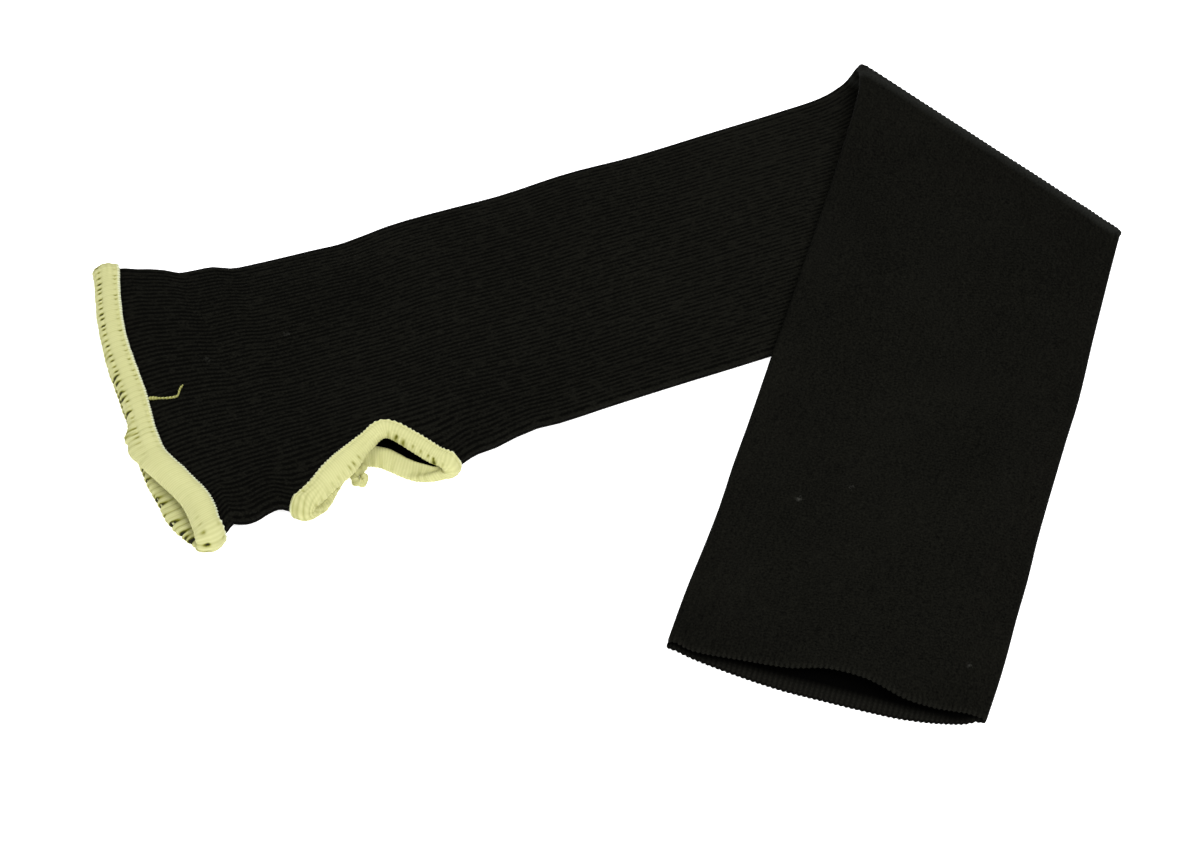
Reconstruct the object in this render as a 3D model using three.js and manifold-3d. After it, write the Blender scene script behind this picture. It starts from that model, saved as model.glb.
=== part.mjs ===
// A knitted heat-resistant arm sleeve, lying flat and folded once across its middle.
// The arm half lies over the hand half. X points right, Y away from the viewer and Z up.
import * as THREE from "three";
import { mergeVertices } from "three/addons/utils/BufferGeometryUtils.js";
import Module from "manifold-3d";

const { clamp, degToRad, lerp, smoothstep } = THREE.MathUtils;

// Driving sizes, in millimetres and degrees
const FLAT_WIDTH = 102; // across the tube, laid flat
const SLEEVE_LENGTH = 554; // hand rim to arm rim, pulled straight
const KNIT = 1.5; // thickness of the knitted wall
const HAND_TO_FOLD = 316.5; // hand rim to the fold, on the tube's middle line
const FOLD_SLANT = degToRad(64.7); // between the fold line and the tube's middle line
const HAND_HEADING = degToRad(22.3); // the hand half climbs this far from +X

// The fold is a loose roll, tighter towards the near edge, which then settles on what is below
const ROLL_RADIUS = 6.6;
const ROLL_TAPER = 0.03;
const ROLL_NEUTRAL = 2.7; // the cloth this far inside the roll keeps its length
const ROLL_SETTLES_OVER = 55;
const HALVES_GAP = 0.6; // the arm half rests this far above the hand half
const DRAPE_RUN = 30; // the arm half comes down to the floor over this distance
const DRAPE_START = 3; // and starts to fall this far inside the hand half's near edge

// The edging is a rolled band of yarn that takes the cloth's edge between its two flanges
const HAND_EDGING_DEPTH = 7;
const THUMB_EDGING_DEPTH = 5.2;
const EDGING_OUTSIDE = 1.5;
const EDGING_INSIDE = 0.9;
const EDGING_CLEARANCE = 0.4;
const EDGING_NOSE = 1.9; // how far the roll stands past the cloth's edge
const FLANGE_CROWN = 0.45; // share of a flange's depth where it is thickest
const FLANGE_FALL = 2; // how fast it thins away from there

// Outer edges of the tube across its middle line, by distance from the hand rim
const OUTLINE = [
  { along: 0, near: -57, far: 66 },
  { along: 9, near: -56.4, far: 66.2 },
  { along: 18, near: -53.4, far: 64.4 },
  { along: 27, near: -52.2, far: 60.8 },
  { along: 34, near: -52.8, far: 58.6 },
  { along: 42, near: -56.6, far: 57 },
  { along: 51, near: -55, far: 54.6 },
  { along: 61, near: -52.4, far: 53 },
  { along: 72, near: -53, far: 51.8 },
  { along: 82, near: -57.6, far: 51.2 },
  { along: 90, near: -58, far: 51 },
  { along: 100, near: -54.8, far: 51.3 },
  { along: 113, near: -52.6, far: 51.7 },
  { along: 130, near: -51.4, far: 51.6 },
  { along: 160, near: -51, far: 50.8 },
  { along: 210, near: -51, far: 50 },
  { along: 258, near: -51, far: 50 },
  { along: 274, near: -51, far: 50.8 },
  { along: 291, near: -51, far: 55.4 },
  { along: 308, near: -51, far: 51.6 },
  { along: 340, near: -50.6, far: 50.8 },
  { along: 430, near: -51.2, far: 50.4 },
  { along: 505, near: -52, far: 51.2 },
  { along: 554, near: -50.4, far: 52.2 },
];

// How far the two layers stand apart: at each edge, and how much the layer on top rises between
// them, as a broad pillow and as a narrower arch. Past the fold the under layer is the one on top.
const LOFT = [
  { along: 0, nearGap: 4.4, farGap: 3.4, pillow: 1.1, underPillow: 0, underArch: 0 },
  { along: 20, nearGap: 3.8, farGap: 3, pillow: 1.9, underPillow: 0, underArch: 0 },
  { along: 45, nearGap: 3.6, farGap: 2, pillow: 2.8, underPillow: 0, underArch: 0 },
  { along: 75, nearGap: 3.6, farGap: 1.2, pillow: 3.4, underPillow: 0, underArch: 0 },
  { along: 105, nearGap: 3.4, farGap: 1, pillow: 3.2, underPillow: 0, underArch: 0 },
  { along: 135, nearGap: 1.5, farGap: 1, pillow: 2.6, underPillow: 0, underArch: 0 },
  { along: 170, nearGap: 1, farGap: 1, pillow: 2.4, underPillow: 0, underArch: 0 },
  { along: 210, nearGap: 1, farGap: 1, pillow: 2, underPillow: 0, underArch: 0 },
  { along: 245, nearGap: 1, farGap: 1, pillow: 1.2, underPillow: 0, underArch: 0 },
  { along: 280, nearGap: 1, farGap: 1, pillow: 0.4, underPillow: 0, underArch: 0 },
  { along: 315, nearGap: 1, farGap: 1, pillow: 0, underPillow: 0, underArch: 0 },
  { along: 350, nearGap: 1, farGap: 1, pillow: 0, underPillow: 0.4, underArch: 0 },
  { along: 390, nearGap: 1, farGap: 1, pillow: 0, underPillow: 1.6, underArch: 0 },
  { along: 440, nearGap: 1, farGap: 1, pillow: 0, underPillow: 2.4, underArch: 0 },
  { along: 500, nearGap: 1, farGap: 1, pillow: 0, underPillow: 3.8, underArch: 0.6 },
  { along: 554, nearGap: 1, farGap: 1, pillow: 0, underPillow: 3.6, underArch: 3 },
];

// How far each layer's edge is drawn in at the two mouths, from the near edge (-1) to the far (1)
const HAND_RIM = [
  { across: -1, top: 7, under: 7 },
  { across: -0.8, top: 6.3, under: 0.4 },
  { across: -0.6, top: 2.6, under: -1.2 },
  { across: -0.4, top: -1, under: -2 },
  { across: 0, top: 0.6, under: -0.4 },
  { across: 0.5, top: 2, under: 1.5 },
  { across: 1, top: 8.5, under: 8.5 },
];
const ARM_RIM = [
  { across: -1, top: 8, under: 8 },
  { across: -0.6, top: 1.2, under: 4 },
  { across: 0, top: 1.6, under: 7 },
  { across: 0.6, top: 3.4, under: 4.6 },
  { across: 1, top: 6.5, under: 6.5 },
];
const RIM_FADES_OVER = 60;

// Cut edge of the thumb hole: girth is counted round the tube from its near edge, under it below 0
const THUMB_HOLE = [
  { along: 43, girth: 0.5 },
  { along: 50.5, girth: 4 },
  { along: 60, girth: 7.2 },
  { along: 68, girth: 12 },
  { along: 75, girth: 15.4 },
  { along: 81, girth: 11 },
  { along: 86.2, girth: 5 },
  { along: 89.4, girth: 0.2 },
  { along: 85, girth: -3.8 },
  { along: 78.6, girth: -6.8 },
  { along: 72.6, girth: -10 },
  { along: 65.5, girth: -11.8 },
  { along: 58, girth: -9.5 },
  { along: 50, girth: -4.5 },
];
const THUMB_MIDDLE = { along: 68, girth: 0 };
const THUMB_CUT = { inside: 0.6, outside: 1, rings: 5 }; // how far the cut runs past the wall

// Where the cloth is raised to lie on its edgings: all of it at the hand, one side at the thumb
const HAND_RAISED = { flat: 17, ends: 46 };
const THUMB_RAISED = { starts: 8, full: 34, flat: 99, ends: 122, reach: 17, fades: 46 };

// How finely the solids are faceted
const TURN_STEPS = 3; // round each quarter turn at an edge
const FLAT_STEPS = 9; // across each layer between its edges
const HALF_STEPS = TURN_STEPS + FLAT_STEPS + TURN_STEPS;
const HAND_FLANGE_STEPS = 3;
const THUMB_FLANGE_STEPS = 3;
const THUMB_STEPS = 60;
const THUMB_CROWDING = 0.7; // draws those steps towards the hole's two corners
const STATION_RUNS = [
  { to: 24, steps: 6 },
  { to: 108, steps: 17 },
  { to: 268, steps: 9 },
  { to: 300, steps: 4 },
  { to: 333, steps: 12 },
  { to: 365, steps: 4 },
  { to: 500, steps: 8 },
  { to: SLEEVE_LENGTH, steps: 6 },
];
const SKEW = { starts: 170, full: 290, flat: 345, ends: 470 };

const FLAT_HEIGHT = 2 * KNIT + 1; // the tube where it is pressed flat
const SEAT = KNIT / 2 + EDGING_CLEARANCE; // an edging's flanges from the middle of the wall
const EDGING_RISE = EDGING_CLEARANCE + EDGING_OUTSIDE;

// Gives every column of a table at any distance, on a smooth curve through its rows
function columnsOf(rows) {
  const [key, ...columns] = Object.keys(rows[0]);
  const spline = new THREE.CubicInterpolant(
    rows.map((row) => row[key]),
    rows.flatMap((row) => columns.map((column) => row[column])),
    columns.length,
  );
  return (at) => {
    const values = spline.evaluate(at);
    return Object.fromEntries(columns.map((column, i) => [column, values[i]]));
  };
}

const outlineAt = columnsOf(OUTLINE);
const loftAt = columnsOf(LOFT);
const handRimAt = columnsOf(HAND_RIM);
const armRimAt = columnsOf(ARM_RIM);

// Sizes of the flattened section, on the middle of the wall
function sectionAt(along) {
  const { near, far } = outlineAt(along);
  const loft = loftAt(along);
  const nearTurn = (KNIT + loft.nearGap) / 2;
  const farTurn = (KNIT + loft.farGap) / 2;
  const flat = far - near - KNIT - nearTurn - farTurn;
  const nearQuarter = (nearTurn * Math.PI) / 2;
  const farQuarter = (farTurn * Math.PI) / 2;
  const halfGirth = nearQuarter + flat + farQuarter;
  return {
    ...loft,
    near: near + KNIT / 2,
    far: far - KNIT / 2,
    nearTurn,
    farTurn,
    flat,
    nearQuarter,
    farQuarter,
    halfGirth,
  };
}

// Rise of a layer at a share u of the way from the middle (0) to either edge (1)
const pillowAt = (u) => Math.max(0, 1 - u ** 4) ** 1.5;
const archAt = (u) => (1 - u * u) ** 2;

// How far the cloth is raised by the edgings under it
function raisedAt(along, fromNear) {
  const hand = 1 - smoothstep(along, HAND_RAISED.flat, HAND_RAISED.ends);
  const thumbAlong =
    smoothstep(along, THUMB_RAISED.starts, THUMB_RAISED.full) -
    smoothstep(along, THUMB_RAISED.flat, THUMB_RAISED.ends);
  const thumb = thumbAlong * (1 - smoothstep(fromNear, THUMB_RAISED.reach, THUMB_RAISED.fades));
  return EDGING_RISE * (1 - (1 - hand) * (1 - thumb));
}

// The flattened tube before it is folded: place across it and height of the wall's middle
function flatPoint(along, girth) {
  const s = sectionAt(along);
  const onTop = girth >= 0;
  const reach = Math.abs(girth);
  const side = onTop ? 1 : -1;
  let across, level;
  if (reach < s.nearQuarter) {
    const turn = reach / s.nearTurn;
    across = s.near + s.nearTurn * (1 - Math.cos(turn));
    level = s.nearTurn * (1 + side * Math.sin(turn));
  } else if (reach > s.nearQuarter + s.flat) {
    const turn = (s.halfGirth - reach) / s.farTurn;
    across = s.far - s.farTurn * (1 - Math.cos(turn));
    level = s.farTurn * (1 + side * Math.sin(turn));
  } else {
    const share = (reach - s.nearQuarter) / s.flat;
    const u = 2 * share - 1;
    const edges = 2 * lerp(s.nearTurn, s.farTurn, smoothstep(share, 0, 1));
    const under = -s.underPillow * pillowAt(u) - s.underArch * archAt(u);
    across = s.near + s.nearTurn + share * s.flat;
    level = onTop ? edges + s.pillow * pillowAt(u) : under;
  }
  return { across, height: KNIT / 2 + level + raisedAt(along, across - s.near) };
}

// Height that the arm half rests at: on the hand half, then down to the floor beside it
function restingHeight(along, across) {
  const s = sectionAt(along);
  const u = clamp((2 * (across - s.near)) / (s.far - s.near) - 1, -1, 1);
  const handTop = FLAT_HEIGHT + s.pillow * pillowAt(u);
  const onHandHalf = smoothstep(across, s.near - DRAPE_RUN, s.near + DRAPE_START);
  return (handTop + HALVES_GAP) * onHandHalf;
}

// Folds the flattened tube: x runs along the hand half from the fold line, y across it
function foldOver(x, y, height) {
  const [sin, cos] = [Math.sin(FOLD_SLANT), Math.cos(FOLD_SLANT)];
  const past = x * sin + y * cos;
  const beside = x * cos - y * sin;
  const radius = ROLL_RADIUS - ROLL_TAPER * clamp(beside, -FLAT_WIDTH / 2, FLAT_WIDTH / 2);
  const neutral = radius - ROLL_NEUTRAL;
  const rollStart = (-neutral * Math.PI) / 2;
  const turn = clamp((past - rollStart) / neutral, 0, Math.PI);
  if (turn === 0) return new THREE.Vector3(x, y, height);
  const rolled = turn < Math.PI;
  const foldedPast = rolled ? rollStart + (radius - height) * Math.sin(turn) : -past;
  const foldedX = foldedPast * sin + beside * cos;
  const foldedY = foldedPast * cos - beside * sin;
  if (rolled) {
    return new THREE.Vector3(foldedX, foldedY, radius - (radius - height) * Math.cos(turn));
  }
  const settled = smoothstep(rollStart - foldedPast, 0, ROLL_SETTLES_OVER);
  const rest = restingHeight(foldedX + HAND_TO_FOLD, foldedY);
  const base = lerp(2 * radius - FLAT_HEIGHT, rest, settled);
  return new THREE.Vector3(foldedX, foldedY, base + FLAT_HEIGHT - height);
}

// A point on the middle of the wall of the folded sleeve
function wallPoint(along, girth) {
  const { across, height } = flatPoint(along, girth);
  return foldOver(along - HAND_TO_FOLD, across, height);
}

// A point that stands a given distance outside the middle of the wall
function clothPoint(along, girth, out) {
  const step = 0.01;
  const runs = wallPoint(along + step, girth).sub(wallPoint(along - step, girth));
  const rounds = wallPoint(along, girth + step).sub(wallPoint(along, girth - step));
  const outward = runs.cross(rounds).normalize();
  return wallPoint(along, girth).addScaledVector(outward, out);
}

// A step round the tube: from the far edge over the top to the near edge, and back underneath
function stepRound(turn) {
  const step = HALF_STEPS * (1 - 2 * turn);
  const reach = Math.abs(step);
  const nearShare = Math.min(reach / TURN_STEPS, 1);
  const flatShare = clamp((reach - TURN_STEPS) / FLAT_STEPS, 0, 1);
  const farShare = Math.max((reach - TURN_STEPS - FLAT_STEPS) / TURN_STEPS, 0);
  return {
    layer: step >= 0 ? "top" : "under",
    across: 2 * flatShare - 1,
    girthIn: (s) =>
      Math.sign(step) * (nearShare * s.nearQuarter + flatShare * s.flat + farShare * s.farQuarter),
  };
}

// Distance from the hand rim of a station's line: it follows the mouths' rims and the fold's slant
function alongLine(station, { layer, across }) {
  const atHand = 1 - smoothstep(station, 0, RIM_FADES_OVER);
  const atArm = smoothstep(station, SLEEVE_LENGTH - RIM_FADES_OVER, SLEEVE_LENGTH);
  const skew =
    smoothstep(station, SKEW.starts, SKEW.full) - smoothstep(station, SKEW.flat, SKEW.ends);
  const slant = (skew * across * FLAT_WIDTH) / 2 / Math.tan(FOLD_SLANT);
  return station + handRimAt(across)[layer] * atHand - armRimAt(across)[layer] * atArm - slant;
}

// Turns a closed profile into a ring, and lays each of its points on the cloth
function ringOnCloth(profile, steps, place) {
  const geometry = new THREE.LatheGeometry(
    profile.map(({ x, y }) => new THREE.Vector2(x, y)),
    steps,
  );
  const position = geometry.attributes.position;
  for (let i = 0; i < position.count; i++) {
    const turn = Math.floor(i / profile.length) / steps;
    const point = place(turn, profile[i % profile.length]);
    position.setXYZ(i, point.x, point.y, Math.max(0, point.z));
  }
  geometry.deleteAttribute("normal");
  geometry.deleteAttribute("uv");
  return withoutSlivers(mergeVertices(geometry));
}

// Drops the facets that closed up where a profile meets its axis
function withoutSlivers(geometry) {
  const corners = geometry.index.array;
  const kept = [];
  for (let i = 0; i < corners.length; i += 3) {
    const [a, b, c] = corners.slice(i, i + 3);
    if (a !== b && b !== c && c !== a) kept.push(a, b, c);
  }
  return geometry.setIndex(kept);
}

// The tube's wall: its outer face from the hand to the arm, and its inner face back again
function knitWall() {
  const stations = [0];
  for (const { to, steps } of STATION_RUNS) {
    const from = stations.at(-1);
    for (let i = 1; i <= steps; i++) stations.push(lerp(from, to, i / steps));
  }
  const outside = stations.map((station) => ({ x: FLAT_WIDTH + KNIT / 2, y: station }));
  const inside = stations.map((station) => ({ x: FLAT_WIDTH - KNIT / 2, y: station }));
  const profile = [...outside, ...inside.reverse(), outside[0]];
  return ringOnCloth(profile, 2 * HALF_STEPS, (turn, { x, y }) => {
    const round = stepRound(turn);
    const along = alongLine(y, round);
    return clothPoint(along, round.girthIn(sectionAt(along)), x - FLAT_WIDTH);
  });
}

// Closed curve of the thumb hole's cut edge, in distances along and round the tube
const thumbCurve = new THREE.CatmullRomCurve3(
  THUMB_HOLE.map(({ along, girth }) => new THREE.Vector3(along, girth, 0)),
  true,
);

// A place on that edge and the way that the edge runs there, in close steps round its two corners
function thumbEdgeAt(turn) {
  const around = turn % 1;
  const t = around - (THUMB_CROWDING * Math.sin(4 * Math.PI * around)) / (4 * Math.PI);
  return { edge: thumbCurve.getPoint(t), runs: thumbCurve.getTangent(t) };
}

// The piece of cloth that the thumb hole takes away, a little thicker than the wall
function thumbCutout() {
  const shares = Array.from({ length: THUMB_CUT.rings + 1 }, (_, i) => i / THUMB_CUT.rings);
  const inner = shares.map((share) => ({ x: share, y: -KNIT / 2 - THUMB_CUT.inside }));
  const outer = shares.map((share) => ({ x: share, y: KNIT / 2 + THUMB_CUT.outside }));
  return ringOnCloth([...outer, ...inner.reverse()], THUMB_STEPS, (turn, { x, y }) => {
    const { edge } = thumbEdgeAt(turn);
    const along = lerp(THUMB_MIDDLE.along, edge.x, x);
    return clothPoint(along, lerp(THUMB_MIDDLE.girth, edge.y, x), y);
  });
}

// Thickness of an edging's flange, as a share, from the cloth's edge (0) to its border (1)
const flangeAt = (share) => 1 - FLANGE_FALL * (share - FLANGE_CROWN) ** 2;

// One side of an edging's section, from its nose over the flange and back along the cloth.
// x runs out of the tube, y from the cloth's edge into the cloth.
function edgingSide(depth, thickness, steps) {
  const shares = Array.from({ length: steps + 1 }, (_, i) => i / steps);
  const shoulder = SEAT + thickness * flangeAt(0);
  const nose = { x: shoulder * Math.SQRT1_2, y: -EDGING_NOSE * Math.SQRT1_2 };
  const flange = shares.map((share) => ({
    x: SEAT + thickness * flangeAt(share),
    y: share * depth,
  }));
  const seat = shares.map((share) => ({
    x: SEAT,
    y: lerp(-EDGING_CLEARANCE, depth, share),
  }));
  return [nose, ...flange, ...seat.reverse()];
}

// Whole section of an edging: the side outside the tube, then the thinner one inside it
function edgingSection(depth, steps) {
  const tip = { x: 0, y: -EDGING_NOSE };
  const outside = edgingSide(depth, EDGING_OUTSIDE, steps);
  const inside = edgingSide(depth, EDGING_INSIDE, steps).map(({ x, y }) => ({ x: -x, y }));
  return [tip, ...outside, ...inside.reverse(), tip];
}

// The edging round the hand's mouth
function handEdging() {
  const section = edgingSection(HAND_EDGING_DEPTH, HAND_FLANGE_STEPS);
  return ringOnCloth(section, 2 * HALF_STEPS, (turn, { x, y }) => {
    const round = stepRound(turn);
    const along = alongLine(0, round) + y;
    return clothPoint(along, round.girthIn(sectionAt(along)), x);
  });
}

// The edging round the thumb hole
function thumbEdging() {
  const section = edgingSection(THUMB_EDGING_DEPTH, THUMB_FLANGE_STEPS);
  return ringOnCloth(section, THUMB_STEPS, (turn, { x, y }) => {
    const { edge, runs } = thumbEdgeAt(turn);
    return clothPoint(edge.x - runs.y * y, edge.y + runs.x * y, x);
  });
}

const wasm = await Module();
wasm.setup();

const solidOf = (geometry) =>
  new wasm.Manifold(
    new wasm.Mesh({
      numProp: 3,
      vertProperties: new Float32Array(geometry.attributes.position.array),
      triVerts: new Uint32Array(geometry.index.array),
    }),
  );

function geometryOf(solid) {
  const mesh = solid.getMesh();
  return new THREE.BufferGeometry()
    .setAttribute("position", new THREE.BufferAttribute(mesh.vertProperties, 3))
    .setIndex(new THREE.BufferAttribute(mesh.triVerts, 1));
}

const blackKnit = new THREE.MeshStandardMaterial({ color: "#16150f", roughness: 0.9, metalness: 0 });
const handYarn = new THREE.MeshStandardMaterial({ color: "#d3d29b", roughness: 0.85, metalness: 0 });
const thumbYarn = handYarn.clone();

function piece(name, geometry, material) {
  const mesh = new THREE.Mesh(geometry, material);
  mesh.name = name;
  return mesh;
}

const knitTube = geometryOf(solidOf(knitWall()).subtract(solidOf(thumbCutout())));

const folded = new THREE.Group();
folded.add(piece("knit_tube", knitTube, blackKnit));
folded.add(piece("hand_edging", handEdging(), handYarn));
folded.add(piece("thumb_edging", thumbEdging(), thumbYarn));
folded.rotation.z = HAND_HEADING;

// The origin is the middle of the floor that the sleeve covers
const covered = new THREE.Box3().setFromObject(folded, true).getCenter(new THREE.Vector3());
folded.position.set(-covered.x, -covered.y, 0);

const sleeve = new THREE.Group();
sleeve.add(folded);

export default sleeve;
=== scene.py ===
"""A knitted heat-resistant arm sleeve, folded once and lying on a pale floor."""
import math
from types import SimpleNamespace

import bmesh
import bpy
import numpy as np
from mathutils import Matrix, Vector


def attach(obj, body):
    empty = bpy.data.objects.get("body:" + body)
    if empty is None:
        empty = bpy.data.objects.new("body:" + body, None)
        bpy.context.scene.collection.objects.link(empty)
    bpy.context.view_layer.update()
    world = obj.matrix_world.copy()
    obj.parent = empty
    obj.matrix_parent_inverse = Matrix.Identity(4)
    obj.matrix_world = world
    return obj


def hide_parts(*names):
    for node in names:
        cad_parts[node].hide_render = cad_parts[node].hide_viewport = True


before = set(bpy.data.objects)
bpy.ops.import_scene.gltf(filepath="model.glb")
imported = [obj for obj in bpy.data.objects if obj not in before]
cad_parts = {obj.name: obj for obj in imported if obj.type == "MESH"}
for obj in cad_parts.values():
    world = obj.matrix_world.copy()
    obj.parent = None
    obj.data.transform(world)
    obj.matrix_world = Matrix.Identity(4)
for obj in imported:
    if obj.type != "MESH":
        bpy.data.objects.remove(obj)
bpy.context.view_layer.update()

# Sizes of the sleeve, in millimetres and degrees
MM = 0.001
FLAT_WIDTH = 102
SLEEVE_LENGTH = 554
KNIT = 1.5  # thickness of the wall
HAND_TO_FOLD = 316.5
FOLD_SLANT = math.radians(64.7)
HAND_HEADING = math.radians(22.3)
FOLD_MIDDLE = (135.09, 97.12)  # where the fold crosses the tube's middle line, on the floor
ROLL_RADIUS = 6.6
ROLL_TAPER = 0.03
ROLL_NEUTRAL = 2.7
ROLL_SETTLES_OVER = 55
HALVES_GAP = 0.6
DRAPE_RUN = 30
DRAPE_START = 3
EDGING_RISE = 1.9
LAYERS_GAP = 1
FLAT_HEIGHT = 2 * KNIT + LAYERS_GAP
RIM_FADES_OVER = 60
HAND_RAISED = {"flat": 17, "ends": 46}
THUMB_RAISED = {"starts": 8, "full": 34, "flat": 99, "ends": 122, "reach": 17, "fades": 46}
SKEW = {"starts": 170, "full": 290, "flat": 345, "ends": 470}
PUCKERS_FADE_OVER = 0.2  # share of the width over which a pucker of the near edge dies away
NUDGE = 0.01  # step for measuring which way a surface or curve runs

# Outer edges of the tube across its middle line, by distance from the hand rim
NEAR_TREND = {"along": (0, 18, 45, SLEEVE_LENGTH), "near": (-57, -54, -52, -52)}  # without its puckers
OUTLINE = {
    "along": (
        0, 9, 14.5, 18, 21, 25, 30, 34.5, 40, 46, 52, 61, 72,
        82, 90, 100, 108, 117, 124, 132, 150, 175, 200, 230, 258,
        274, 291, 308, 340, 385, 413, 432, 473, 490, 505, 528, 554,
    ),
    "near": (
        -57, -56.2, -54, -51.4, -52.8, -53.1, -51.7, -51.6, -55.8, -56.4, -54.7, -52.4, -53,
        -57.6, -58, -54.8, -53.8, -51.2, -50.2, -50.8, -50.5, -50.6, -51, -51, -51,
        -51, -51, -51, -50.7, -51.1, -51.9, -51.5, -51.2, -51.7, -51.6, -51.8, -50.8,
    ),
    "far": (
        66.4, 66.9, 66.2, 65.2, 63.7, 62.4, 60.4, 57.8, 57.3, 56.7, 53.7, 52.6, 51.8,
        51.1, 50.4, 51.1, 51.9, 52, 51.7, 51.3, 50.4, 51.2, 49.8, 49.9, 50,
        50.8, 55.4, 51.6, 50.8, 50.4, 50.2, 50.5, 51, 50.6, 50.9, 51.8, 51.9,
    ),
}

# How far the two layers stand apart at each edge, and how much the layer on top rises between them
LOFT = {
    "along": (0, 20, 45, 75, 105, 135, 170, 210, 245, 280, 315, 350, 390, 440, 500, 554),
    "near_gap": (4.4, 3.8, 3.6, 3.6, 3.4, 1.5, 1, 1, 1, 1, 1, 1, 1, 1, 1, 1),
    "far_gap": (3.4, 3, 2, 1.2, 1, 1, 1, 1, 1, 1, 1, 1, 1, 1, 1, 1),
    "pillow": (1.1, 1.9, 2.8, 3.4, 3.2, 2.6, 2.4, 2, 1.2, 0.4, 0, 0, 0, 0, 0, 0),
    "under_pillow": (0, 0, 0, 0, 0, 0, 0, 0, 0, 0, 0, 0.4, 1.6, 2.4, 3.8, 3.6),
    "under_arch": (0, 0, 0, 0, 0, 0, 0, 0, 0, 0, 0, 0, 0, 0, 0.6, 3),
}

# How far each layer's edge is drawn in at the two mouths, from the near edge (-1) to the far (1)
HAND_RIM = {
    "across": (-1, -0.8, -0.6, -0.4, 0, 0.5, 1),
    "top": (7, 6.3, 2.6, -1, 0.6, 2, 8.5),
    "under": (7, 0.4, -1.2, -2, -0.4, 1.5, 8.5),
}
ARM_RIM = {
    "across": (-1, -0.97, -0.93, -0.87, -0.8, -0.7, -0.5, -0.25, 0, 0.25, 0.5, 0.85, 1),
    "top": (8, 7, 6, 5.1, 4.3, 3.3, 1.9, 1.4, 1.3, 1.3, 2.2, 4.4, 6.1),
    "under": (8.2, 8.2, 8, 7.3, 6.4, 5.3, 5, 7.9, 7.9, 4.7, 4.1, 4.8, 7.4),
}

# Cut edge of the thumb hole: girth is counted round the tube from its near edge, under it below 0
THUMB_HOLE = {
    "along": (43, 50.5, 60, 68, 75, 81, 86.2, 89.4, 85, 78.6, 72.6, 65.5, 58, 50),
    "girth": (0.5, 4, 7.2, 12, 15.4, 11, 5, 0.2, -3.8, -6.8, -10, -11.8, -9.5, -4.5),
}
THUMB_MIDDLE = {"along": 68, "girth": 0}
CUTTER_FACETS = 90
CUTTER_RINGS = 17
CUTTER_PAST_WALL = 0.7

# The knit: ribs round the tube, and rows of facets along its outer and inner face
RIBS = 124
RIB_STEPS = 4  # facets round each rib
RIB_FULLNESS = 0.7  # below 1 the ribs are wider than the grooves between them
RIB_RELIEF = {
    "along": (0, 285, 318, 340, 380, 520, 546, 554),
    "depth": (0.34, 0.34, 0.3, 0.1, 0.07, 0.07, 0.26, 0.34),
}
COURSE = 1.25  # one row of stitches
INSIDE_RIBS = 1000  # ribs on the inside are counted from here
RIB_SHADE_TO = 262  # the course up to which shade is painted in the rib grooves and light on the rib crests, over the hand half
RIM_STARTS = 441.6  # the first course of the arm's rim, where the rib crests get a painted highlight
INSIDE_SHADOW_TO = 438.6  # the course up to which the inside has painted shadow, at the middle of the mouth
SHADOW_ASIDE = 3  # courses by which the painted shadow comes nearer to the rim at the mouth's corners
FOLD_HIGHLIGHT_AT = 249.2  # the course on the fold where its painted highlight is palest, at the first rib
HIGHLIGHT_LEANS = 0.087  # courses that the painted highlight's line moves by from one rib to the next
TURN_SHARE = 0.03  # share of half the girth in the turn at either edge
RIM_LIP = 0.6
RIM_TEETH = 0.5
RIM_TEETH_RUN = 5
KNIT_ROWS = {
    "to": (32, 108, 268, 300, 333, 365, 500, 554),
    "outside": (16, 24, 20, 9, 26, 9, 16, 14),
    "inside": (6, 11, 8, 4, 12, 4, 8, 7),
}

# Section of an edging, in steps from its border on the cloth over the nose and back along the cloth
EDGING_SECTION = {
    "step": tuple(range(27)),
    "into": (  # from the cut edge into the cloth
        5.9, 6.35, 6.1, 5.5, 4.9, 4.2, 3.1, 2, 1.1, 0.45, -0.25, -1.05, -1.7, -1.9,
        -1.6, -0.7, 0.8, 2.8, 4.8, 6, 5.7, 2.5, -0.35, -0.45, -0.35, 2.5, 5.9,
    ),
    "flat": (  # out of the wall, on a flat band
        1.15, 1.5, 2.05, 2.25, 2.1, 2.5, 2.72, 2.7, 2.45, 2.1, 2.1, 1.7, 0.85, 0,
        -0.9, -1.6, -1.95, -2, -1.75, -1.35, -1.15, -1.15, -1.15, 0, 1.15, 1.15, 1.15,
    ),
    "round": (  # out of the wall, on a fat roll
        1.15, 1.6, 2.35, 2.9, 3.3, 3.6, 3.75, 3.7, 3.5, 3.15, 2.65, 1.95, 1.05, 0,
        -1.1, -2, -2.7, -3, -2.6, -1.6, -1.15, -1.15, -1.15, 0, 1.15, 1.15, 1.15,
    ),
}
SECTION_DEPTH = 6.2  # the reach of that section into the cloth outside
SECTION_INSIDE = 6  # its reach into the cloth inside
SECTION_NOSE = 1.9  # its reach past the cut edge
SECTION_STEPS = np.concatenate([np.linspace(0, 15, 34), np.linspace(15.6, 26, 15)])  # finer where it shows
SECTION_NUDGE = 0.05
NOSE_AT = 13
SEAT_STARTS = 20  # from this step on the section lies against the cloth
OUTSIDE_SEAT = 23  # from this step on it lies against the cloth's outside
SHOWS_OVER = (0.5, 1.5)  # steps over which the stitches come out of the cloth at the border
HIDES_OVER = (SEAT_STARTS - 1.5, SEAT_STARTS - 0.5)  # steps over which they go into it again

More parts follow.
